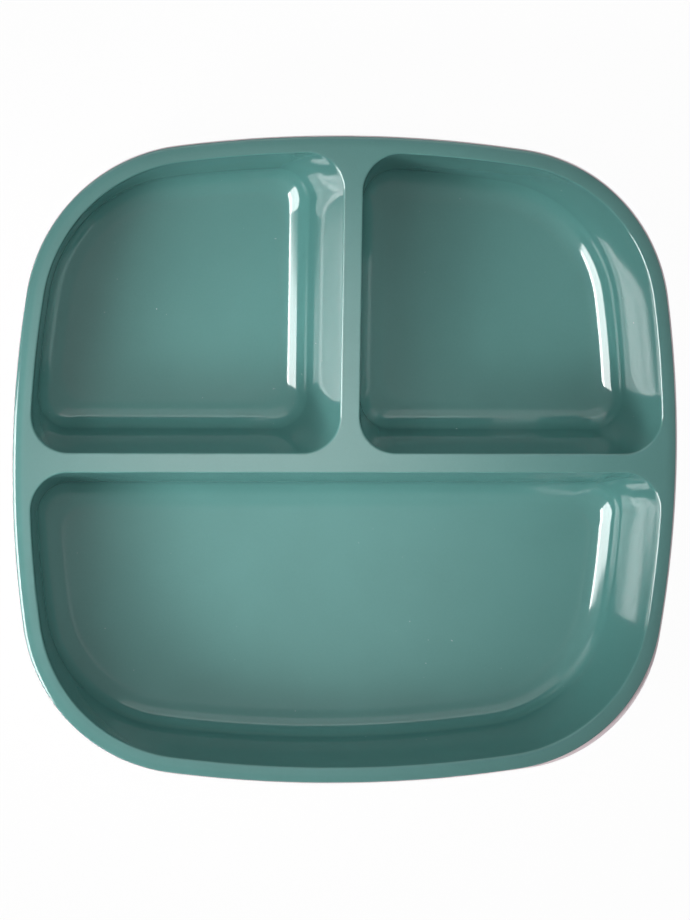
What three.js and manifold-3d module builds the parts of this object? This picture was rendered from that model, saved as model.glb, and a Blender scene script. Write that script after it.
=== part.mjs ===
// A children's plate with three wells: a teal inner tray bonded into a pale pink outer shell.
// Millimetres. +X is the plate's right, +Y its far edge with the two small wells, +Z is up.
// The origin is under the middle of the plate, on the surface that it stands on.
import * as THREE from "three";
import Module from "manifold-3d";

const wasm = await Module();
wasm.setup();

// Outline of the rim: four bowed sides joined by round corners
const PLATE_WIDTH = 220;
const PLATE_DEPTH = 211.9;
const SIDE_BOW_RADIUS = 366;
const END_BOW_RADIUS = 425;
const CORNER_RADIUS = 56.8;

// Heights and walls
const PLATE_HEIGHT = 42.5;
const TRAY_WALL = 1.2;
const SHELL_WALL = 1.2;
const BOND_GAP = 0.3;
const FOOT_HEIGHT = 0.8;

// Rim: level beside the wells, then falling a little towards its edge
const RIM_WIDTH = 5.4;
const RIM_DROP = 0.5;
const RIM_SLOPE_WIDTH = 3.8;
const TRAY_EDGE_ROUND = 1;
const SHELL_EDGE_ROUND = 0.6;

// The tray's edge stops short of the shell's. The near right corner is sharper, the shell's most of all
const TRAY_REVEAL = 0.3;
const TRAY_SHIFT = -0.25;
const TRAY_CORNER_SHARPEN = 2;
const SHELL_CORNER_SHARPEN = 6.2;

// Wells: drafted walls, a wide floor fillet and round corners that tighten towards the floor
const DIVIDER_WIDTH = 6.3;
const CROSS_DIVIDER_Y = -0.55;
const WALL_DRAFT = THREE.MathUtils.degToRad(10);
const FLOOR_FILLET = 9;
const LIP_ROUND = 0.7;
const LIP_CORNER_RADIUS = 12.3;
const FLOOR_CORNER_RADIUS = 9;

// Foot: a low ring under the floor of each well
const FOOT_SETBACK = 0.6;
const FOOT_WIDTH = 2.4;

// How far a cutting solid reaches past the face that it opens
const CUT_REACH = 1;

// Straight steps that stand for each round stretch
const SIDE_STEPS = 8;
const CORNER_STEPS = 8;
const BOW_STEPS = 4;
const WELL_CORNER_STEPS = 6;
const FILLET_STEPS = 5;
const ROUND_STEPS = 3;

const TEAL = new THREE.MeshStandardMaterial({ color: "#5f9a92", roughness: 0.12, metalness: 0 });
const PINK = new THREE.MeshStandardMaterial({ color: "#dcc8cd", roughness: 0.18, metalness: 0 });

// Levels that follow from the sizes above
const PANEL_Z = FOOT_HEIGHT;
const FLOOR_Z = PANEL_Z + SHELL_WALL + BOND_GAP + TRAY_WALL;
const EDGE_Z = PLATE_HEIGHT - RIM_DROP;
const SEAT_Z = EDGE_Z - TRAY_WALL;
const UNDER_RIM_Z = SEAT_Z - SHELL_WALL;

// Middle of the floor fillet, as an inset from the lip and a height
const FILLET_Z = FLOOR_Z + FLOOR_FILLET;
const FILLET_INSET = (PLATE_HEIGHT - FILLET_Z) * Math.tan(WALL_DRAFT) + FLOOR_FILLET / Math.cos(WALL_DRAFT);

const SIDE_BOW_X = PLATE_WIDTH / 2 - SIDE_BOW_RADIUS;
const END_BOW_Y = PLATE_DEPTH / 2 - END_BOW_RADIUS;

// Points on an arc about (x, y), without its last point unless asked for.
function arc(x, y, radius, from, to, steps, withEnd = false) {
  const count = withEnd ? steps + 1 : steps;
  return Array.from({ length: count }, (_, step) => {
    const angle = THREE.MathUtils.lerp(from, to, step / steps);
    return new THREE.Vector2(x + radius * Math.cos(angle), y + radius * Math.sin(angle));
  });
}

// The far right corner arc, which touches the right bow and the far bow from inside:
// its middle, and the directions in which each bow's middle sees it.
function plateCorner(radius) {
  const toSide = SIDE_BOW_RADIUS - radius;
  const toEnd = END_BOW_RADIUS - radius;
  const along = new THREE.Vector2(-SIDE_BOW_X, END_BOW_Y);
  const span = along.length();
  along.normalize();
  const reach = (toSide ** 2 - toEnd ** 2 + span ** 2) / (2 * span);
  const rise = Math.sqrt(toSide ** 2 - reach ** 2);
  const x = SIDE_BOW_X + along.x * reach - along.y * rise;
  const y = along.y * reach + along.x * rise;
  return { x, y, radius, side: Math.atan2(y, x - SIDE_BOW_X), end: Math.atan2(y - END_BOW_Y, x) };
}

// The plate's outline drawn in evenly by an inset, counter-clockwise from the right side.
// The near right corner can be sharpened to a smaller radius.
function plateOutline(inset, sharpen = 0) {
  const corner = plateCorner(CORNER_RADIUS);
  const sharp = plateCorner(CORNER_RADIUS - sharpen);
  const { side, end } = corner;
  const sideRadius = SIDE_BOW_RADIUS - inset;
  const endRadius = END_BOW_RADIUS - inset;
  const radius = corner.radius - inset;
  return [
    ...arc(SIDE_BOW_X, 0, sideRadius, -sharp.side, side, SIDE_STEPS),
    ...arc(corner.x, corner.y, radius, side, end, CORNER_STEPS),
    ...arc(0, END_BOW_Y, endRadius, end, Math.PI - end, SIDE_STEPS),
    ...arc(-corner.x, corner.y, radius, Math.PI - end, Math.PI - side, CORNER_STEPS),
    ...arc(-SIDE_BOW_X, 0, sideRadius, Math.PI - side, Math.PI + side, SIDE_STEPS),
    ...arc(-corner.x, -corner.y, radius, Math.PI + side, Math.PI + end, CORNER_STEPS),
    ...arc(0, -END_BOW_Y, endRadius, Math.PI + end, 2 * Math.PI - sharp.end, SIDE_STEPS),
    ...arc(sharp.x, -sharp.y, sharp.radius - inset, -sharp.end, -sharp.side, CORNER_STEPS),
  ];
}

// Where a well corner of the given radius sits between the right bow and a level line at y.
function sideCorner(inset, radius, y) {
  const reach = SIDE_BOW_RADIUS - RIM_WIDTH - inset - radius;
  const x = SIDE_BOW_X + Math.sqrt(reach ** 2 - y ** 2);
  return { x, y, angle: Math.atan2(y, x - SIDE_BOW_X) };
}

// The far right well at an inset from its lip, with the given corner radius.
function farRightWell(inset, radius) {
  const drawn = RIM_WIDTH + inset;
  const plate = plateCorner(CORNER_RADIUS);
  const x = DIVIDER_WIDTH / 2 + inset + radius;
  const near = sideCorner(inset, radius, CROSS_DIVIDER_Y + DIVIDER_WIDTH / 2 + inset + radius);
  const farReach = END_BOW_RADIUS - drawn - radius;
  const farY = END_BOW_Y + Math.sqrt(farReach ** 2 - x ** 2);
  const farAngle = Math.atan2(farY - END_BOW_Y, x);
  const { side, end } = plate;
  return [
    ...arc(x, near.y, radius, Math.PI, 1.5 * Math.PI, WELL_CORNER_STEPS, true),
    ...arc(near.x, near.y, radius, -Math.PI / 2, near.angle, WELL_CORNER_STEPS),
    ...arc(SIDE_BOW_X, 0, SIDE_BOW_RADIUS - drawn, near.angle, side, BOW_STEPS),
    ...arc(plate.x, plate.y, CORNER_RADIUS - drawn, side, end, CORNER_STEPS),
    ...arc(0, END_BOW_Y, END_BOW_RADIUS - drawn, end, farAngle, BOW_STEPS),
    ...arc(x, farY, radius, farAngle, Math.PI, WELL_CORNER_STEPS, true),
  ];
}

// The far left well is the far right one seen in a mirror, run the other way round.
function farLeftWell(inset, radius) {
  return farRightWell(inset, radius).reverse().map((point) => new THREE.Vector2(-point.x, point.y));
}

// The long near well at an inset from its lip, with the given corner radius.
function nearWell(inset, radius) {
  const drawn = RIM_WIDTH + inset;
  const plate = plateCorner(CORNER_RADIUS);
  const far = sideCorner(inset, radius, CROSS_DIVIDER_Y - DIVIDER_WIDTH / 2 - inset - radius);
  const { side, end } = plate;
  const sideRadius = SIDE_BOW_RADIUS - drawn;
  const endRadius = END_BOW_RADIUS - drawn;
  const cornerRadius = CORNER_RADIUS - drawn;
  return [
    ...arc(-far.x, far.y, radius, Math.PI / 2, Math.PI - far.angle, WELL_CORNER_STEPS),
    ...arc(-SIDE_BOW_X, 0, sideRadius, Math.PI - far.angle, Math.PI + side, BOW_STEPS),
    ...arc(-plate.x, -plate.y, cornerRadius, Math.PI + side, Math.PI + end, CORNER_STEPS),
    ...arc(0, -END_BOW_Y, endRadius, Math.PI + end, 2 * Math.PI - end, SIDE_STEPS),
    ...arc(plate.x, -plate.y, cornerRadius, -end, -side, CORNER_STEPS),
    ...arc(SIDE_BOW_X, 0, sideRadius, -side, far.angle, BOW_STEPS),
    ...arc(far.x, far.y, radius, far.angle, Math.PI / 2, WELL_CORNER_STEPS, true),
  ];
}

const WELL_OUTLINES = [farLeftWell, farRightWell, nearWell];

// A well's corners tighten steadily from its lip to the edge of its floor.
function cornerRadiusAt(inset) {
  const share = Math.min(inset / FILLET_INSET, 1);
  return THREE.MathUtils.lerp(LIP_CORNER_RADIUS, FLOOR_CORNER_RADIUS, share);
}

// The floor fillet from the floor up to the wall, on the face that lies outside the well by an offset.
function filletProfile(offset) {
  const radius = FLOOR_FILLET + offset;
  return Array.from({ length: FILLET_STEPS + 1 }, (_, step) => {
    const angle = THREE.MathUtils.lerp(-Math.PI / 2, WALL_DRAFT - Math.PI, step / FILLET_STEPS);
    const inner = FILLET_INSET + FLOOR_FILLET * Math.cos(angle);
    return {
      inset: FILLET_INSET + radius * Math.cos(angle),
      z: FILLET_Z + radius * Math.sin(angle),
      corner: cornerRadiusAt(inner) - offset * Math.cos(angle),
    };
  });
}

// The point at height z on the wall face that lies outside the well by an offset.
function wallPoint(z, offset) {
  const inner = (PLATE_HEIGHT - z - offset * Math.sin(WALL_DRAFT)) * Math.tan(WALL_DRAFT);
  const sideways = offset * Math.cos(WALL_DRAFT);
  return { inset: inner - sideways, z, corner: cornerRadiusAt(inner) + sideways };
}

// The rounded lip from the wall up to the level top of the rim.
function lipProfile() {
  const middle = LIP_ROUND * (Math.tan(WALL_DRAFT) - 1 / Math.cos(WALL_DRAFT));
  return Array.from({ length: ROUND_STEPS + 1 }, (_, step) => {
    const angle = THREE.MathUtils.lerp(WALL_DRAFT, Math.PI / 2, step / ROUND_STEPS);
    const inset = middle + LIP_ROUND * Math.cos(angle);
    const z = PLATE_HEIGHT - LIP_ROUND + LIP_ROUND * Math.sin(angle);
    return { inset, z, corner: cornerRadiusAt(inset) };
  });
}

// A foot ring under the floor, from the panel inside it out to the start of the fillet.
function footProfile() {
  const outer = FILLET_INSET + FOOT_SETBACK;
  const inner = outer + FOOT_WIDTH;
  const levels = [[inner, PANEL_Z], [inner, 0], [outer, 0], [outer, PANEL_Z]];
  return levels.map(([inset, z]) => ({ inset, z, corner: FLOOR_CORNER_RADIUS }));
}

// A ring of points at one height.
function ringAt(points, z) {
  return points.map((point) => new THREE.Vector3(point.x, point.y, z));
}

// A closed solid through rings of equal count, listed from the bottom up and closed flat at both ends.
function loft(rings) {
  const count = rings[0].length;
  const last = rings.length - 1;
  const points = rings.flat();
  const index = [];
  for (let level = 0; level < last; level += 1) {
    for (let step = 0; step < count; step += 1) {
      const next = (step + 1) % count;
      const low = level * count;
      const high = low + count;
      index.push(low + step, low + next, high + next, low + step, high + next, high + step);
    }
  }
  for (const level of [0, last]) {
    const middle = points.length;
    const sum = rings[level].reduce((total, point) => total.add(point), new THREE.Vector3());
    points.push(sum.divideScalar(count));
    for (let step = 0; step < count; step += 1) {
      const here = level * count + step;
      const next = level * count + (step + 1) % count;
      index.push(middle, ...(level === 0 ? [next, here] : [here, next]));
    }
  }
  const geometry = new THREE.BufferGeometry().setFromPoints(points).setIndex(index);
  return new wasm.Manifold(new wasm.Mesh({
    numProp: 3,
    vertProperties: geometry.getAttribute("position").array,
    triVerts: Uint32Array.from(index),
  }));
}

// One solid for each well, lofted through a profile listed from the bottom up.
function wellSolids(profile) {
  return WELL_OUTLINES.map((outline) =>
    loft(profile.map(({ inset, z, corner }) => ringAt(outline(inset, corner), z))));
}

// The tray's own edge: set back from the shell's and moved a little sideways.
function trayEdge(inset) {
  return plateOutline(TRAY_REVEAL + inset, TRAY_CORNER_SHARPEN)
    .map((point) => new THREE.Vector2(point.x + TRAY_SHIFT, point.y));
}

// The rim of the tray: a flat seat below, a rounded edge, a sloping margin and a level top.
function trayRim() {
  const rings = [ringAt(trayEdge(0), SEAT_Z)];
  for (let step = 0; step <= ROUND_STEPS; step += 1) {
    const angle = (Math.PI / 2) * (step / ROUND_STEPS);
    const inset = TRAY_EDGE_ROUND * (1 - Math.cos(angle));
    rings.push(ringAt(trayEdge(inset), EDGE_Z - TRAY_EDGE_ROUND * (1 - Math.sin(angle))));
  }
  rings.push(ringAt(plateOutline(RIM_SLOPE_WIDTH), PLATE_HEIGHT));
  return loft(rings);
}

// The rim of the shell: a rounded lower edge under the flat seat of the tray.
function shellRim() {
  const rings = [];
  for (let step = 0; step <= ROUND_STEPS; step += 1) {
    const angle = (Math.PI / 2) * (1 - step / ROUND_STEPS);
    const inset = SHELL_EDGE_ROUND * (1 - Math.cos(angle));
    const outline = plateOutline(inset, SHELL_CORNER_SHARPEN);
    rings.push(ringAt(outline, UNDER_RIM_Z + SHELL_EDGE_ROUND * (1 - Math.sin(angle))));
  }
  rings.push(ringAt(plateOutline(0, SHELL_CORNER_SHARPEN), SEAT_Z));
  return loft(rings);
}

// A named mesh of a finished solid.
function piece(name, solid, material) {
  const { vertProperties, triVerts } = solid.getMesh();
  const geometry = new THREE.BufferGeometry();
  geometry.setAttribute("position", new THREE.BufferAttribute(vertProperties, 3));
  geometry.setIndex(new THREE.BufferAttribute(triVerts, 1));
  geometry.computeVertexNormals();
  const mesh = new THREE.Mesh(geometry, material);
  mesh.name = name;
  return mesh;
}

// The tray: the rim and three bowls, hollowed by the wells.
function innerTray() {
  const bowls = wellSolids([...filletProfile(TRAY_WALL), wallPoint(SEAT_Z + TRAY_WALL / 2, TRAY_WALL)]);
  const lip = lipProfile();
  const mouth = { ...lip[lip.length - 1], z: PLATE_HEIGHT + CUT_REACH };
  const wells = wellSolids([...filletProfile(0), ...lip, mouth]);
  const body = bowls.reduce((solid, bowl) => solid.add(bowl), trayRim());
  return wells.reduce((solid, well) => solid.subtract(well), body);
}

// The shell: a rim and three footed bowls that follow the tray at the bond gap.
function outerShell() {
  const inside = TRAY_WALL + BOND_GAP;
  const outside = inside + SHELL_WALL;
  const bowlTop = wallPoint(SEAT_Z - SHELL_WALL / 2, outside);
  const bowls = wellSolids([...footProfile(), ...filletProfile(outside), bowlTop]);
  const nests = wellSolids([...filletProfile(inside), wallPoint(SEAT_Z + CUT_REACH, inside)]);
  const body = bowls.reduce((solid, bowl) => solid.add(bowl), shellRim());
  return nests.reduce((solid, nest) => solid.subtract(nest), body);
}

const plate = new THREE.Group();
plate.name = "childrens_plate";
plate.add(piece("inner_tray", innerTray(), TEAL));
plate.add(piece("outer_shell", outerShell(), PINK));

export default plate;
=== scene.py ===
# %% [markdown]
# A two-tone children's plate
#
# The real plate is pressed from melamine in two colours: a glossy teal tray that the food touches, bonded
# for good into a pale pink shell that shows under the rim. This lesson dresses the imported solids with
# smooth surfaces. The solids come first, because every size below is read from them or repeats one of their
# driving dimensions.

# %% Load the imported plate
import math

import bpy
import numpy as np
from mathutils import Matrix, Vector
from mathutils.geometry import delaunay_2d_cdt


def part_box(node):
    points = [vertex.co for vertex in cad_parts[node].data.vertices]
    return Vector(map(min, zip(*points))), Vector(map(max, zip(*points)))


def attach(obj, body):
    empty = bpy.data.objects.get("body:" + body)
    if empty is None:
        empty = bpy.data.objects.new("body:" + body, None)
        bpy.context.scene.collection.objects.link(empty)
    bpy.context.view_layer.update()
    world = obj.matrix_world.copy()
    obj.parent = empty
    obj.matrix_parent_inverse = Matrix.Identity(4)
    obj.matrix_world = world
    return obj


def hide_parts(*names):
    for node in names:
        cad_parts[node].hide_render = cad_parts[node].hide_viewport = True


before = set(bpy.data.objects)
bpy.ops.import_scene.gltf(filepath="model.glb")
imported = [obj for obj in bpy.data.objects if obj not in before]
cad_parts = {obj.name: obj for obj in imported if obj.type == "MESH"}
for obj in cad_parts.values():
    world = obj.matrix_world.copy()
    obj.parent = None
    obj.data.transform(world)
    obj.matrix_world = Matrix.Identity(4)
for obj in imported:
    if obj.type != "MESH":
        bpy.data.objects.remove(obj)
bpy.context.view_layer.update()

# %% [markdown]
# Sizes
#
# The overall width, depth and height come from the boxes of the two solids. Each side's distance from the
# middle is measured and the smaller one doubled, so that the smooth skins stay inside the solids' box. The
# other driving dimensions are the ones that the solids were drawn from, in metres here.

# %% Sizes of the plate
MM = 0.001
shell_low, shell_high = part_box("outer_shell")
tray_low, tray_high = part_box("inner_tray")
PLATE_WIDTH = 2 * min(-shell_low.x, shell_high.x)
PLATE_DEPTH = 2 * min(-shell_low.y, shell_high.y)
PLATE_HEIGHT = tray_high.z
SEAT_Z = shell_high.z

SIDE_BOW_RADIUS = 366 * MM
END_BOW_RADIUS = 425 * MM
CORNER_RADIUS = 56.8 * MM
RIM_WIDTH = 5.4 * MM
RIM_SLOPE_WIDTH = 3.8 * MM
DIVIDER_WIDTH = 6.3 * MM
CROSS_DIVIDER_Y = -0.55 * MM

TRAY_WALL = 1.2 * MM
SHELL_WALL = 1.2 * MM
BOND_GAP = 0.3 * MM
FOOT_HEIGHT = 0.8 * MM
FOOT_SETBACK = 0.6 * MM
FOOT_WIDTH = 2.4 * MM

WALL_DRAFT = math.radians(10)
FLOOR_FILLET = 9 * MM
LIP_ROUND = 0.7 * MM
LIP_CORNER_RADIUS = 12.3 * MM
FLOOR_CORNER_RADIUS = 9 * MM

UNDER_RIM_Z = SEAT_Z - SHELL_WALL
FLOOR_Z = FOOT_HEIGHT + SHELL_WALL + BOND_GAP + TRAY_WALL
FILLET_Z = FLOOR_Z + FLOOR_FILLET
FILLET_INSET = (PLATE_HEIGHT - FILLET_Z) * math.tan(WALL_DRAFT) + FLOOR_FILLET / math.cos(WALL_DRAFT)
SIDE_BOW_X = PLATE_WIDTH / 2 - SIDE_BOW_RADIUS
END_BOW_Y = PLATE_DEPTH / 2 - END_BOW_RADIUS
plate_size = np.array([PLATE_WIDTH, PLATE_DEPTH, PLATE_HEIGHT]) / MM
print("plate", plate_size.round(1), "mm, seat at", round(SEAT_Z / MM, 1), "mm")

# %% [markdown]
# The plate's outline
#
# Seen from above, the rim is a square whose four sides bow outwards and whose corners are large arcs. A
# subdivided cage could get close to it, but arcs that touch each other give an outline that is smooth
# everywhere, and drawing it in by a distance only makes every arc's radius smaller. The near right corner
# of this plate came out sharper than the other three, so it can have a radius of its own. All the rings
# below are counter-clockwise.

# %% Arcs and the outline
SIDE_STEPS = 48
CORNER_STEPS = 40
BOW_STEPS = 14
WELL_CORNER_STEPS = 22


def arc(x, y, radius, start, end, steps, with_end=False):
    """Points at (x + radius cos a, y + radius sin a), with the angle a going evenly from start to end.

    Each argument may be a column with one row for each ring. The result then has one row of points a ring.
    """
    angle = start + (end - start) * np.arange(steps + with_end) / steps
    return np.stack(np.broadcast_arrays(x + radius * np.cos(angle), y + radius * np.sin(angle)), axis=-1)


def plate_corner(radius):
    """Middle of the far right corner arc, and the directions in which the side and end bows' middles see it.

    The middle lies a bow's radius less the corner's radius from each bow's middle: two circles that cross.
    """
    to_side, to_end = SIDE_BOW_RADIUS - radius, END_BOW_RADIUS - radius
    span = math.hypot(SIDE_BOW_X, END_BOW_Y)
    along_x, along_y = -SIDE_BOW_X / span, END_BOW_Y / span
    reach = (to_side**2 - to_end**2 + span**2) / (2 * span)
    rise = math.sqrt(to_side**2 - reach**2)
    x = SIDE_BOW_X + along_x * reach - along_y * rise
    y = along_y * reach + along_x * rise
    return x, y, math.atan2(y, x - SIDE_BOW_X), math.atan2(y - END_BOW_Y, x)


def plate_outline(inset, sharpen=0.0):
    """The outline drawn in by a column of insets: eight arcs that touch, the near right one sharpened."""
    x, y, side, end = plate_corner(CORNER_RADIUS)
    sharp_x, sharp_y, sharp_side, sharp_end = plate_corner(CORNER_RADIUS - sharpen)
    side_radius, end_radius = SIDE_BOW_RADIUS - inset, END_BOW_RADIUS - inset
    radius = CORNER_RADIUS - inset
    return np.concatenate([
        arc(SIDE_BOW_X, 0, side_radius, -sharp_side, side, SIDE_STEPS),
        arc(x, y, radius, side, end, CORNER_STEPS),
        arc(0, END_BOW_Y, end_radius, end, math.pi - end, SIDE_STEPS),
        arc(-x, y, radius, math.pi - end, math.pi - side, CORNER_STEPS),
        arc(-SIDE_BOW_X, 0, side_radius, math.pi - side, math.pi + side, SIDE_STEPS),
        arc(-x, -y, radius, math.pi + side, math.pi + end, CORNER_STEPS),
        arc(0, -END_BOW_Y, end_radius, math.pi + end, 2 * math.pi - sharp_end, SIDE_STEPS),
        arc(sharp_x, -sharp_y, radius - sharpen, -sharp_end, -sharp_side, CORNER_STEPS),
    ], axis=1)


print("outline points", plate_outline(np.zeros((1, 1))).shape[1])

# %% [markdown]
# Outlines of the three wells
#
# Each well follows the rim on its outer sides and the straight dividers on its inner sides, with round
# corners where the two meet. A corner's middle is where a line and a bow, both drawn in by the corner's
# radius, cross. The two far wells mirror each other, so the left one is the right one with x turned round.
# A hollow lets the outer sides stand further out than the inset alone, which leaves the dividers straight.

# %% Outlines of the wells
def corner_on_side(drawn, radius, y):
    """Middle of a well corner at a given y that touches the drawn-in right bow, and the bow's angle there."""
    reach = SIDE_BOW_RADIUS - drawn - radius
    x = SIDE_BOW_X + np.sqrt(reach**2 - y**2)
    return x, np.arctan2(y, x - SIDE_BOW_X)


def far_right_well(inset, radius, hollow):
    """Rings of the far right well: three round corners, two bows and the plate's own corner between them."""
    drawn = RIM_WIDTH + inset - hollow
    plate_x, plate_y, side, end = plate_corner(CORNER_RADIUS)
    left_x = DIVIDER_WIDTH / 2 + inset + radius
    near_y = CROSS_DIVIDER_Y + DIVIDER_WIDTH / 2 + inset + radius
    near_x, near_angle = corner_on_side(drawn, radius, near_y)
    far_y = END_BOW_Y + np.sqrt((END_BOW_RADIUS - drawn - radius)**2 - left_x**2)
    far_angle = np.arctan2(far_y - END_BOW_Y, left_x)
    return np.concatenate([
        arc(left_x, near_y, radius, math.pi, 1.5 * math.pi, WELL_CORNER_STEPS, True),
        arc(near_x, near_y, radius, -math.pi / 2, near_angle, WELL_CORNER_STEPS),
        arc(SIDE_BOW_X, 0, SIDE_BOW_RADIUS - drawn, near_angle, side, BOW_STEPS),
        arc(plate_x, plate_y, CORNER_RADIUS - drawn, side, end, CORNER_STEPS),
        arc(0, END_BOW_Y, END_BOW_RADIUS - drawn, end, far_angle, BOW_STEPS),
        arc(left_x, far_y, radius, far_angle, math.pi, WELL_CORNER_STEPS, True),
    ], axis=1)


def far_left_well(inset, radius, hollow):
    """The far right well with x turned round, run backwards so that it stays counter-clockwise."""
    return far_right_well(inset, radius, hollow)[:, ::-1] * np.array([-1.0, 1.0])


def near_well(inset, radius, hollow):
    """Rings of the long near well: two round corners, two side bows, two plate corners and the near bow."""
    drawn = RIM_WIDTH + inset - hollow
    plate_x, plate_y, side, end = plate_corner(CORNER_RADIUS)
    far_y = CROSS_DIVIDER_Y - DIVIDER_WIDTH / 2 - inset - radius
    far_x, far_angle = corner_on_side(drawn, radius, far_y)
    side_radius, end_radius = SIDE_BOW_RADIUS - drawn, END_BOW_RADIUS - drawn
    corner = CORNER_RADIUS - drawn
    return np.concatenate([
        arc(-far_x, far_y, radius, math.pi / 2, math.pi - far_angle, WELL_CORNER_STEPS),
        arc(-SIDE_BOW_X, 0, side_radius, math.pi - far_angle, math.pi + side, BOW_STEPS),
        arc(-plate_x, -plate_y, corner, math.pi + side, math.pi + end, CORNER_STEPS),
        arc(0, -END_BOW_Y, end_radius, math.pi + end, 2 * math.pi - end, SIDE_STEPS),
        arc(plate_x, -plate_y, corner, -end, -side, CORNER_STEPS),
        arc(SIDE_BOW_X, 0, side_radius, -side, far_angle, BOW_STEPS),
        arc(far_x, far_y, radius, far_angle, math.pi / 2, WELL_CORNER_STEPS, True),
    ], axis=1)


WELLS = (far_left_well, far_right_well, near_well)
print("wells", [outline.__name__ for outline in WELLS])

# %% [markdown]
# The section of a well
#
# Down its side, every well has the same section: a small rounded lip, a wall that leans outwards by its
# draft, a wide fillet and a level floor. The faces under it are the same section moved outwards by a wall
# thickness, so one function with an offset draws the tray's two faces and the shell's two faces. A row of a
# section is an inset from the lip, a height and a corner radius. Like most pressed bowls, the tray's outer
# walls are very slightly hollow between lip and fillet, which bends the window's reflection in them, so the
# tray's rows have the hollow as a fourth number.

# %% Sections
LIP_STEPS = 10
WALL_STEPS = 14
FILLET_STEPS = 20
FLOOR_SHARES = np.array([0.985, 0.93, 0.8, 0.6, 0.35, 0.12])
LEVEL_STRIP = 0.12 * MM
WALL_HOLLOW = 0.45 * MM


def corner_radius_at(inset):
    """The corners tighten in a straight line from the lip's radius to the floor's at the floor's edge."""
    share = np.minimum(inset / FILLET_INSET, 1.0)
    return LIP_CORNER_RADIUS + (FLOOR_CORNER_RADIUS - LIP_CORNER_RADIUS) * share


def fillet_section(offset):
    """From the wall down to the floor: an arc about the fillet's middle, widened by the offset."""
    angle = np.linspace(WALL_DRAFT - math.pi, -math.pi / 2, FILLET_STEPS + 1)
    radius = FLOOR_FILLET + offset
    inner = FILLET_INSET + FLOOR_FILLET * np.cos(angle)
    corner = corner_radius_at(inner) - offset * np.cos(angle)
    inset = FILLET_INSET + radius * np.cos(angle)
    return np.column_stack([inset, FILLET_Z + radius * np.sin(angle), corner])


def wall_section(top, bottom, offset):
    """Points evenly down the leaning wall, on the face that lies outside the well by the offset."""
    z = np.linspace(top, bottom, WALL_STEPS + 1)
    inner = (PLATE_HEIGHT - z - offset * math.sin(WALL_DRAFT)) * math.tan(WALL_DRAFT)
    sideways = offset * math.cos(WALL_DRAFT)
    return np.column_stack([inner - sideways, z, corner_radius_at(inner) + sideways])


def lip_section():
    """From the level rim over a lip to the wall: an arc that touches both, after a short level strip."""
    middle = LIP_ROUND * (math.tan(WALL_DRAFT) - 1 / math.cos(WALL_DRAFT))
    angle = np.linspace(math.pi / 2, WALL_DRAFT, LIP_STEPS + 1)
    inset = np.append(middle - LEVEL_STRIP, middle + LIP_ROUND * np.cos(angle))
    z = np.append(PLATE_HEIGHT, PLATE_HEIGHT - LIP_ROUND + LIP_ROUND * np.sin(angle))
    return np.column_stack([inset, z, corner_radius_at(inset)])


def hollowed(section, depth):
    """Adds the hollow to a section's rows: depth times 4 s (1 - s), with s from 0 to 1 down the section."""
    down = np.linspace(0, 1, len(section))
    return np.column_stack([section, depth * 4 * down * (1 - down)])


def rings(outline, section):
    """Carries a section round a well, one ring for each row, with no hollow where the row gives none."""
    hollow = section[:, 3:].sum(axis=1, keepdims=True)
    flat = outline(section[:, :1], section[:, 2:3], hollow)
    height = np.broadcast_to(section[:, 1, None, None], (*flat.shape[:2], 1))
    return np.concatenate([flat, height], axis=2)


def floor_rings(edge):
    """Smaller copies of a floor's edge about its middle, at its own height."""
    middle = edge.mean(axis=0)
    return middle + (edge - middle) * FLOOR_SHARES[:, None, None]


tray_section = np.concatenate([
    hollowed(lip_section(), 0.0),
    hollowed(wall_section(PLATE_HEIGHT - LIP_ROUND, FILLET_Z, 0.0), WALL_HOLLOW)[1:-1],
    hollowed(fillet_section(0.0), 0.0),
])
print("rows in the tray's section", len(tray_section))

# %% [markdown]
# Joining the surfaces
#
# A layer of the plate is one closed skin: the underside of its bowls, a flat face between them, the edge of
# the rim, the flat top and the wells. Grids of rings cover everything except the two flat faces, whose
# shape is a plate with three holes. Those are filled by a constrained triangulation between the rings that
# are already there, so that the skin shares every vertex and has no seam.

# %% Skins
SHARP_EDGE = math.radians(50)
INSIDE_WITH_HOLES = 2
SAME_POINT = 1e-6


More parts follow.
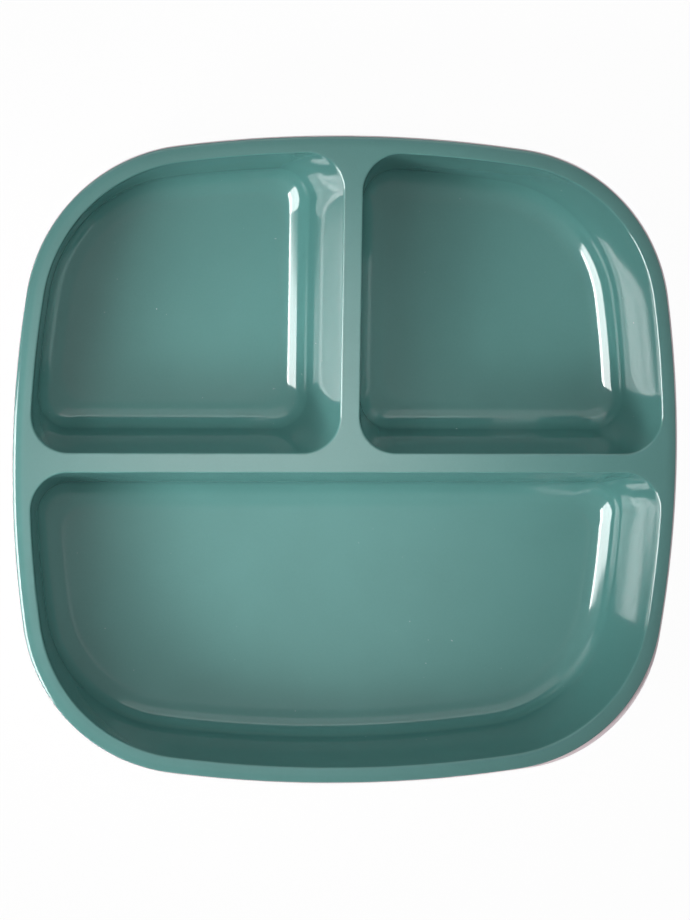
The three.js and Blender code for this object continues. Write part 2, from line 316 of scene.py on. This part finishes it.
class Skin:
    """Collects points and faces, and becomes one mesh object at the end."""

    def __init__(self):
        self.points = []
        self.faces = []
        self.count = 0

    def add(self, points):
        """Stores an array of points and gives their numbers in the same arrangement."""
        self.points.append(points.reshape(-1, 3))
        numbers = self.count + np.arange(points.size // 3).reshape(points.shape[:-1])
        self.count += numbers.size
        return numbers

    def strip(self, grid):
        """Four-sided faces between neighbouring closed rings of a grid of point numbers."""
        after = np.roll(grid, -1, axis=1)
        quads = np.stack([grid[:-1], after[:-1], after[1:], grid[1:]], axis=-1)
        self.faces += quads.reshape(-1, 4).tolist()

    def cap(self, ring, upwards):
        """Closes a ring with triangles to its middle."""
        points = np.concatenate(self.points)[ring]
        middle = np.full(ring.shape, self.add(points.mean(axis=0)[None])[0])
        after = np.roll(ring, -1)
        pair = [ring, after] if upwards else [after, ring]
        self.faces += np.stack([*pair, middle], axis=-1).tolist()

    def land(self, outer, holes, upwards):
        """Fills the flat face between an outer ring and the rings of its holes."""
        loops = [outer, *holes]
        numbers = np.concatenate(loops)
        flat = np.concatenate(self.points)[numbers, :2] / MM
        ends = np.cumsum([len(loop) for loop in loops])
        faces = [list(range(end - len(loop), end)) for loop, end in zip(loops, ends)]
        corners = [Vector(point) for point in flat]
        filled = delaunay_2d_cdt(corners, [], faces, INSIDE_WITH_HOLES, SAME_POINT)
        triangles, sources = filled[2], filled[3]
        source = numbers[[group[0] for group in sources]]
        triangles = source[np.array(triangles)]
        self.faces += (triangles if upwards else triangles[:, ::-1]).tolist()

    def to_object(self, name):
        """Makes the mesh, smooth except at sharp edges, and counts edges that don't join just two faces."""
        mesh = bpy.data.meshes.new(name)
        mesh.from_pydata(np.concatenate(self.points).tolist(), [], self.faces)
        mesh.shade_smooth()
        mesh.set_sharp_from_angle(angle=SHARP_EDGE)
        made = bpy.data.objects.new(name, mesh)
        bpy.context.scene.collection.objects.link(made)
        edges = np.empty(len(mesh.loops), dtype=np.int32)
        mesh.loops.foreach_get("edge_index", edges)
        open_edges = np.count_nonzero(np.bincount(edges) != 2)
        print(name, len(mesh.vertices), "points", len(mesh.polygons), "faces", open_edges, "open edges")
        return made


def layer(name, bowl_section, edge, well_section):
    """One closed layer: bowls below, the rim's edge from below to above, and wells on top."""
    skin = Skin()
    bowl_tops = []
    for outline in WELLS:
        under = rings(outline, bowl_section)
        under = np.concatenate([floor_rings(under[0])[::-1], under])
        grid = skin.add(under)
        skin.strip(grid)
        skin.cap(grid[0], upwards=False)
        bowl_tops.append(grid[-1])
    edge_grid = skin.add(edge)
    skin.strip(edge_grid)
    skin.land(edge_grid[0], bowl_tops, upwards=False)
    mouths = []
    for outline in WELLS:
        inside = rings(outline, well_section)
        inside = np.concatenate([inside, floor_rings(inside[-1])])
        grid = skin.add(inside)
        skin.strip(grid)
        skin.cap(grid[-1], upwards=True)
        mouths.append(grid[0])
    skin.land(edge_grid[-1], mouths, upwards=True)
    return skin.to_object(name)

# %% [markdown]
# The teal tray
#
# The tray's rim falls a little towards its edge, which is partly why it looks darker than the level
# dividers. The dividers' tops also carry a painted sheen. Its own edge stops short of the shell's. At
# the near right corner the tray is a little sharper than elsewhere and the shell much sharper, so a pale
# crescent of the shell shows there. The rim is a stack of rings: a small round below, a larger shoulder
# above it, and a soft roll up to the level top.

# %% The tray
TRAY_REVEAL = 0.3 * MM
TRAY_SHIFT = -0.25 * MM
TRAY_CORNER_SHARPEN = 2 * MM
SHOULDER_ROUND = 1.0 * MM
SEAM_ROUND = 0.25 * MM
ROUND_STEPS = 8
ROLL_STEPS = 12
ROLL_DROP = 0.4 * MM
ROLL_LEAN = math.radians(13)
ROLL_REACH = 0.6
LEVEL_INSET = RIM_SLOPE_WIDTH + 0.25 * MM


def at_height(flat, z):
    """Adds a column of heights to rows of flat rings."""
    height = np.broadcast_to(np.asarray(z, float).reshape(-1, 1, 1), (*flat.shape[:2], 1))
    return np.concatenate([flat, height], axis=2)


def tray_edge(inset, z):
    """Rings of the tray's own edge: set back by its reveal and moved a little sideways."""
    flat = plate_outline(TRAY_REVEAL + inset[:, None], TRAY_CORNER_SHARPEN)
    return at_height(flat + np.array([TRAY_SHIFT, 0.0]), z)


def bend(first, corner, last, steps):
    """Rings on a soft bend: (1-t)^2 first + 2t(1-t) corner + t^2 last."""
    t = np.linspace(0, 1, steps + 1)[:, None, None]
    return (1 - t)**2 * first + 2 * t * (1 - t) * corner + t**2 * last


def tray_rim():
    """The tray's edge from its seat over a round shoulder and a soft roll to the level top.

    The roll starts at the shoulder's lean. Its corner point lies level with the top, where that lean would
    reach it, but never further than a share of the way to the level top, so that the roll can't fold.
    """
    low = np.linspace(math.pi / 2, 0, ROUND_STEPS + 1)
    high = np.linspace(0, math.pi / 2 - ROLL_LEAN, ROUND_STEPS + 1)
    edge_z = PLATE_HEIGHT - ROLL_DROP
    seam_z = SEAT_Z + SEAM_ROUND * (1 - np.sin(low))
    shoulder_z = edge_z - SHOULDER_ROUND * (1 - np.sin(high))
    seam = tray_edge(SEAM_ROUND * (1 - np.cos(low)), seam_z)
    shoulder = tray_edge(SHOULDER_ROUND * (1 - np.cos(high)), shoulder_z)
    level = at_height(plate_outline(np.array([[LEVEL_INSET]])), PLATE_HEIGHT)[0]
    rise = level - shoulder[-1]
    across = np.linalg.norm(rise[:, :2], axis=1)
    share = np.minimum(rise[:, 2] / math.tan(ROLL_LEAN) / across, ROLL_REACH)
    corner = shoulder[-1] + rise * np.column_stack([share, share, np.ones(len(rise))])
    return np.concatenate([seam, shoulder, bend(shoulder[-1], corner, level, ROLL_STEPS)[1:]])


def bowl_side(top, offset):
    """The face of a bowl outside the well by the offset, from a height down to the edge of its floor."""
    return np.concatenate([wall_section(top, FILLET_Z, offset)[:-1], fillet_section(offset)])


tray = layer("teal_tray", bowl_side(SEAT_Z, TRAY_WALL)[::-1], tray_rim(), tray_section)

# %% [markdown]
# The pink shell
#
# The shell repeats the bowls one wall and one bond gap further out. Its rim is a thin flange with rounded
# edges, and under each bowl a low foot ring with soft shoulders keeps the floor off the table.

# %% The shell
SHELL_CORNER_SHARPEN = 6.2 * MM
SHELL_EDGE_ROUND = 0.6 * MM
SHELL_LIP_ROUND = 0.3 * MM
FOOT_ROUND = 0.35 * MM


def shell_rim():
    """The flange's edge from its underside to the seat: a round, an upright and a smaller round."""
    low = np.linspace(math.pi / 2, 0, ROUND_STEPS + 1)
    high = low[::-1]
    inset = np.concatenate([SHELL_EDGE_ROUND * (1 - np.cos(low)), SHELL_LIP_ROUND * (1 - np.cos(high))])
    z = np.concatenate([
        UNDER_RIM_Z + SHELL_EDGE_ROUND * (1 - np.sin(low)),
        SEAT_Z - SHELL_LIP_ROUND * (1 - np.sin(high)),
    ])
    return at_height(plate_outline(inset[:, None], SHELL_CORNER_SHARPEN), z)


def foot_section():
    """From the panel inside a foot ring, down over its two soft shoulders and up to the fillet's edge."""
    outer = FILLET_INSET + FOOT_SETBACK
    inner = outer + FOOT_WIDTH
    turn = np.linspace(0, math.pi / 2, ROUND_STEPS + 1)
    sideways, z = FOOT_ROUND * (1 - np.cos(turn)), FOOT_ROUND * (1 - np.sin(turn))
    inset = np.concatenate([[inner], inner - sideways, outer + sideways[::-1], [outer]])
    height = np.concatenate([[FOOT_HEIGHT], z, z[::-1], [FOOT_HEIGHT]])
    return np.column_stack([inset, height, np.full(len(inset), FLOOR_CORNER_RADIUS)])


nest = TRAY_WALL + BOND_GAP
outside = nest + SHELL_WALL
under_shell = np.concatenate([foot_section(), bowl_side(UNDER_RIM_Z, outside)[::-1]])
shell = layer("pink_shell", under_shell, shell_rim(), bowl_side(SEAT_Z, nest))

# %% [markdown]
# Shader maths
#
# A material is easier to read as a formula than as a list of wires. The small class below wraps a node's
# output, so that adding or multiplying two of them adds the Math node that does it, and one method makes
# any other node.

# %% A socket that can be calculated with
class Field:
    """A number that changes over a surface, as the output socket of a node."""

    def __init__(self, tree, socket):
        self.tree = tree
        self.socket = socket

    def node(self, kind, settings=None, **inputs):
        """Adds a node of any kind: its settings, then the values or links of its sockets.

        A socket is given by its name, or by the letter i and its number where two sockets share a name.
        """
        made = self.tree.nodes.new(kind)
        for key, value in (settings or {}).items():
            setattr(made, key, value)
        for key, value in inputs.items():
            name = int(key[1:]) if key[1:].isdigit() else key.replace("_", " ")
            socket = made.inputs[name]
            if isinstance(value, Field):
                self.tree.links.new(value.socket, socket)
            else:
                socket.default_value = value
        return made

    def out(self, kind, output=0, settings=None, **inputs):
        """The same, giving one output of the new node as a field."""
        return Field(self.tree, self.node(kind, settings, **inputs).outputs[output])

    def maths(self, operation, *values):
        """A Math node on this field's tree."""
        sockets = {f"i{place}": value for place, value in enumerate(values)}
        return self.out("ShaderNodeMath", settings={"operation": operation}, **sockets)

    def __add__(self, other):
        return self.maths("ADD", self, other)

    def __sub__(self, other):
        return self.maths("SUBTRACT", self, other)

    def __rsub__(self, other):
        return self.maths("SUBTRACT", other, self)

    def __mul__(self, other):
        return self.maths("MULTIPLY", self, other)

    __radd__ = __add__
    __rmul__ = __mul__

    def ramp(self, low, high):
        """0 below low, 1 above high, and a smooth step between them."""
        settings = {"interpolation_type": "SMOOTHSTEP"}
        return self.out("ShaderNodeMapRange", settings=settings, Value=self, From_Min=low, From_Max=high)


def linear(red, green, blue):
    """A screen colour of 0 to 255 as the linear colour that a shader takes."""
    share = np.array([red, green, blue]) / 255
    value = np.where(share <= 0.04045, share / 12.92, ((share + 0.055) / 1.055)**2.4)
    return (*value.tolist(), 1.0)

# %% [markdown]
# Melamine
#
# Pressed melamine is an opaque filled resin with a hard, glossy skin. Up close its colour is faintly
# cloudy, its skin is very slightly wavy from the press, and use leaves fine scuffs and a little dust. Each
# of those is a noise of its own scale on object coordinates, and each is kept weak, because from a step
# away the plate looks clean. The level tops of the dividers and the rim are rubbed most, so there the gloss
# is duller. Their colour is also painted paler, a painted sheen of the light that fades out from a point
# left of the middle. A height and a distance on the same coordinates say where.

# %% Melamine
SWELL_DEPTH = 0.016 * MM
PEEL_DEPTH = 0.0006 * MM
GLOSS_ROUGHNESS = 0.06
CLOUD_ROUGHNESS = 0.03
FLECK_ROUGHNESS = 0.2
FLECK_STRENGTH = 0.35
# Pale colour of the dust flecks, also used for the painted sheen on the level tops.
DUST_AND_SHEEN_COLOUR = (0.75, 0.76, 0.74, 1.0)
RUBBED_ROUGHNESS = 0.15
# Painted sheen: how much paler the level tops are painted where the light is brightest. The same mask below
# also dulls their gloss.
PAINTED_SHEEN = 0.1
RUBBED_AND_LIT_MIDDLE = (-0.028, 0.0, PLATE_HEIGHT)
RUBBED_AND_LIT_REACH = (0.02, 0.13)
RUBBED_AND_LIT_HEIGHT = (PLATE_HEIGHT - 0.2 * MM, PLATE_HEIGHT - 0.03 * MM)
SCRATCH_TURN = (0.0, 0.0, 0.6)
SCRATCH_SCALE = (420.0, 26.0, 60.0)
MELAMINE_IOR = 1.65


def melamine(name, colour, light_colour, scuffed):
    """A glossy moulded finish: a cloudy, speckled colour, scuffs, rubbed tops with a painted sheen, and a
    wavy skin.
    """
    made = bpy.data.materials.new(name)
    made.use_nodes = True
    tree = made.node_tree
    shader = tree.nodes["Principled BSDF"]
    place = Field(tree, tree.nodes.new("ShaderNodeTexCoord").outputs["Object"])

    cloud = place.out("ShaderNodeTexNoise", Vector=place, Scale=22.0, Detail=3.0, Roughness=0.55)
    specks = place.out("ShaderNodeTexNoise", Vector=place, Scale=1500.0, Detail=2.0, Roughness=0.6)
    tint = (0.75 * cloud + 0.25 * specks).ramp(0.3, 0.7)
    blend = {"data_type": "RGBA"}
    base = place.out("ShaderNodeMix", 2, blend, Factor=tint, i6=colour, i7=light_colour)

    turned = place.out("ShaderNodeMapping", Vector=place, Rotation=SCRATCH_TURN, Scale=SCRATCH_SCALE)
    lines = place.out("ShaderNodeTexNoise", Vector=turned, Scale=1.0, Detail=2.0, Roughness=0.6)
    patches = place.out("ShaderNodeTexNoise", Vector=place, Scale=38.0, Detail=2.0).ramp(0.45, 0.7)
    scuffs = lines.ramp(0.66, 0.78) * patches
    dots = place.out("ShaderNodeTexNoise", Vector=place, Scale=640.0, Detail=1.0)
    flecks = dots.ramp(0.79, 0.82) * patches
    height = place.out("ShaderNodeSeparateXYZ", "Z", Vector=place)
    measure = {"operation": "DISTANCE"}
    away = place.out("ShaderNodeVectorMath", "Value", measure, i0=place, i1=RUBBED_AND_LIT_MIDDLE)
    # Mask of the level tops, fading out from a point left of the middle. It gives a duller gloss and a
    # painted sheen of light.
    rubbed_and_lit = height.ramp(*RUBBED_AND_LIT_HEIGHT) * (1.0 - away.ramp(*RUBBED_AND_LIT_REACH))
    # Pale dust flecks plus the painted sheen on the tops, mixed into the colour.
    dust_and_sheen = FLECK_STRENGTH * flecks + PAINTED_SHEEN * rubbed_and_lit
    dusty_and_sheened = place.out("ShaderNodeMix", 2, blend, Factor=dust_and_sheen, i6=base, i7=DUST_AND_SHEEN_COLOUR)

    swell = place.out("ShaderNodeTexNoise", Vector=place, Scale=48.0, Detail=1.0, Roughness=0.4)
    peel = place.out("ShaderNodeTexNoise", Vector=place, Scale=620.0, Detail=2.0, Roughness=0.5)
    skin = place.out("ShaderNodeBump", Height=swell, Strength=1.0, Distance=SWELL_DEPTH)
    skin = place.out("ShaderNodeBump", Height=peel, Strength=1.0, Distance=PEEL_DEPTH, Normal=skin)

    worn = scuffed * scuffs + FLECK_ROUGHNESS * flecks + RUBBED_ROUGHNESS * rubbed_and_lit
    roughness = GLOSS_ROUGHNESS + CLOUD_ROUGHNESS * cloud + worn
    tree.links.new(dusty_and_sheened.socket, shader.inputs["Base Color"])
    tree.links.new(roughness.socket, shader.inputs["Roughness"])
    tree.links.new(skin.socket, shader.inputs["Normal"])
    shader.inputs["IOR"].default_value = MELAMINE_IOR
    return made


teal = melamine("teal_melamine", linear(83, 132, 128), linear(87, 137, 133), scuffed=0.12)
pink = melamine("pink_melamine", linear(231, 213, 218), linear(235, 218, 223), scuffed=0.08)

dressed = (tray, "inner_tray", "tray", teal), (shell, "outer_shell", "shell", pink)
for piece, node, slot, finish in dressed:
    piece.data.materials.append(finish)
    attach(piece, "root")
    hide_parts(node)
print("pieces", tray.name, shell.name)

# %% [markdown]
# Floor and light
#
# The plate lies on a plain white table, which is white to the camera and in the gloss, and still takes the
# plate's shadow. Light that shades and light that mirrors are set apart here, because a photograph's
# reflections are far narrower than its shading. A tall window at the left and near side only mirrors: it is
# the bright strip that bends along the right-hand fillets, and seen twice, first in the wall and then in
# the floor, it is the pale band above. Two cards on the far side mirror as the fine lines where the near
# walls meet the floors. Three small lamps with narrow beams only shade, and make the floors brightest left
# of the middle. The room fills the rest, with a faint round glow.

# %% Floor, window and room
FLOOR_REACH = 3.0
FLOOR_GREY = (0.82, 0.82, 0.82, 1.0)
FLOOR_ROUGHNESS = 0.9
FLOOR_WHITE = 0.97
ROOM_FILL = 0.43
ROOM_GLOW = 1.0
GLOW_TOWARDS = Vector((0.165, -0.1, 0.98)).normalized()
GLOW_EDGE = math.cos(math.radians(2.8))
LAMP_AIM = (-0.03, 0.0, 0.04)
WINDOW_X = -1.07
WINDOW_NEAR_Y = -1.07
CARD_Y = 1.0
CARD_WIDTH = 1.6


def white_floor():
    """A large square under the foot rings, white to the camera and the gloss, that still takes a shadow."""
    corners = np.array([[-1, -1], [1, -1], [1, 1], [-1, 1]]) * FLOOR_REACH
    mesh = bpy.data.meshes.new("floor")
    mesh.from_pydata(np.column_stack([corners, np.zeros(4)]).tolist(), [], [[0, 1, 2, 3]])
    made = bpy.data.materials.new("white_floor")
    made.use_nodes = True
    tree = made.node_tree
    shader = tree.nodes["Principled BSDF"]
    shader.inputs["Base Color"].default_value = FLOOR_GREY
    shader.inputs["Roughness"].default_value = FLOOR_ROUGHNESS
    path = tree.nodes.new("ShaderNodeLightPath")
    ray = Field(tree, path.outputs["Is Camera Ray"]) + Field(tree, path.outputs["Is Glossy Ray"])
    glow = ray.node("ShaderNodeEmission", Color=(1.0, 1.0, 1.0, 1.0), Strength=1.0)
    mixed = ray.node("ShaderNodeMixShader", Fac=FLOOR_WHITE * ray)
    tree.links.new(shader.outputs[0], mixed.inputs[1])
    tree.links.new(glow.outputs[0], mixed.inputs[2])
    tree.links.new(mixed.outputs[0], tree.nodes["Material Output"].inputs["Surface"])
    mesh.materials.append(made)
    floor = bpy.data.objects.new("floor", mesh)
    bpy.context.scene.collection.objects.link(floor)


def soft_light(name, place, aim, size, power, beam=180, shades=True, mirrors=True):
    """A rectangular lamp at a place, turned to face a point, that may only shade or only mirror in the gloss.

    The beam is the angle in degrees that a grid on the front of the lamp leaves open.
    """
    lamp = bpy.data.lights.new(name, "AREA")
    lamp.shape = "RECTANGLE"
    lamp.size, lamp.size_y = size
    lamp.energy = power
    lamp.spread = math.radians(beam)
    made = bpy.data.objects.new(name, lamp)
    made.location = place
    made.visible_diffuse = shades
    made.visible_glossy = mirrors
    made.rotation_mode = "QUATERNION"
    made.rotation_quaternion = (Vector(aim) - Vector(place)).to_track_quat("-Z", "Y")
    bpy.context.scene.collection.objects.link(made)


def white_room():
    """A world that lights evenly, with a faint round glow overhead, and that shows white to the camera."""
    world = bpy.data.worlds.new("white_room")
    bpy.context.scene.world = world
    world.use_nodes = True
    tree = world.node_tree
    tree.nodes.remove(tree.nodes["Background"])
    camera = Field(tree, tree.nodes.new("ShaderNodeLightPath").outputs["Is Camera Ray"])
    direction = camera.out("ShaderNodeTexCoord", "Generated")
    compare = {"operation": "DOT_PRODUCT"}
    towards = camera.out("ShaderNodeVectorMath", "Value", compare, i0=direction, i1=GLOW_TOWARDS)
    fill, glow, white = (
        Field(tree, camera.node("ShaderNodeBackground", Strength=level).outputs[0])
        for level in (ROOM_FILL, ROOM_GLOW, 1.0))
    room = camera.out("ShaderNodeMixShader", Fac=towards.ramp(GLOW_EDGE, 1.0), i1=fill, i2=glow)
    shown = camera.out("ShaderNodeMixShader", Fac=camera, i1=room, i2=white)
    tree.links.new(shown.socket, tree.nodes["World Output"].inputs["Surface"])


def window_pane(name, low, high, far_y, power):
    """An upright pane between two heights, from the window's near edge to a far edge, facing the right."""
    y, z = (WINDOW_NEAR_Y + far_y) / 2, (low + high) / 2
    size = (far_y - WINDOW_NEAR_Y, high - low)
    soft_light(name, (WINDOW_X, y, z), (0.0, y, z), size, power, shades=False)


def far_card(name, low, high, power):
    """An upright white card on the far side between two heights, facing the plate's near edge."""
    z = (low + high) / 2
    size = (CARD_WIDTH, high - low)
    soft_light(name, (0.0, CARD_Y, z), (0.0, 0.0, z), size, power, shades=False)


white_floor()
white_room()
window_pane("window", 0.0, 1.5, 0.0, 52.9)
window_pane("upper_pane", 1.5, 1.82, 0.0, 26.9)
window_pane("top_pane", 1.86, 2.09, -0.105, 16.8)
far_card("far_card", 0.59, 1.73, 3.0)
far_card("far_strip", 0.16, 0.6, 3.0)
soft_light("soft_box", (-0.455, -0.246, 0.384), LAMP_AIM, (0.2, 0.2), 0.225, beam=42, mirrors=False)
soft_light("left_lamp", (-0.374, 0.0, 0.531), LAMP_AIM, (0.2, 0.2), 0.046, beam=30, mirrors=False)
soft_light("overhead", (-0.02, 0.0, 0.5), (-0.02, 0.0, 0.0), (0.15, 0.15), 0.034, beam=33, mirrors=False)
print("lamps", len(bpy.data.lights))
bpy.context.scene.view_settings.view_transform = "Standard"

# %% [markdown]
# Camera
#
# The photograph was taken from almost straight above, from a little to the left and to the far side, with a
# long lens. The place below was found by fitting the rim and the lips of the wells to the photograph.

# %% Camera
CAMERA_PLACE = Vector((-0.28425, 0.12883, 1.59795 + PLATE_HEIGHT))
CAMERA_AIM = Vector((-0.00147, 0.0005, PLATE_HEIGHT))
CAMERA_ROLL = math.radians(0.8698)
FOCAL_PIXELS = 5000
FRAME_HEIGHT_PIXELS = 920
SENSOR = 36.0
CLIP_END = 100.0

back = (CAMERA_PLACE - CAMERA_AIM).normalized()
right = Vector((0.0, 1.0, 0.0)).cross(back).normalized()
up = back.cross(right)
turn = Matrix((right, up, back)).transposed().to_4x4()
lens = bpy.data.cameras.new("camera")
lens.sensor_width = SENSOR
lens.lens = FOCAL_PIXELS * SENSOR / FRAME_HEIGHT_PIXELS
lens.clip_end = CLIP_END
camera = bpy.data.objects.new("camera", lens)
camera.matrix_world = Matrix.Translation(CAMERA_PLACE) @ turn @ Matrix.Rotation(CAMERA_ROLL, 4, "Z")
bpy.context.scene.collection.objects.link(camera)
bpy.context.scene.camera = camera
print("lens", round(lens.lens, 1), "mm")
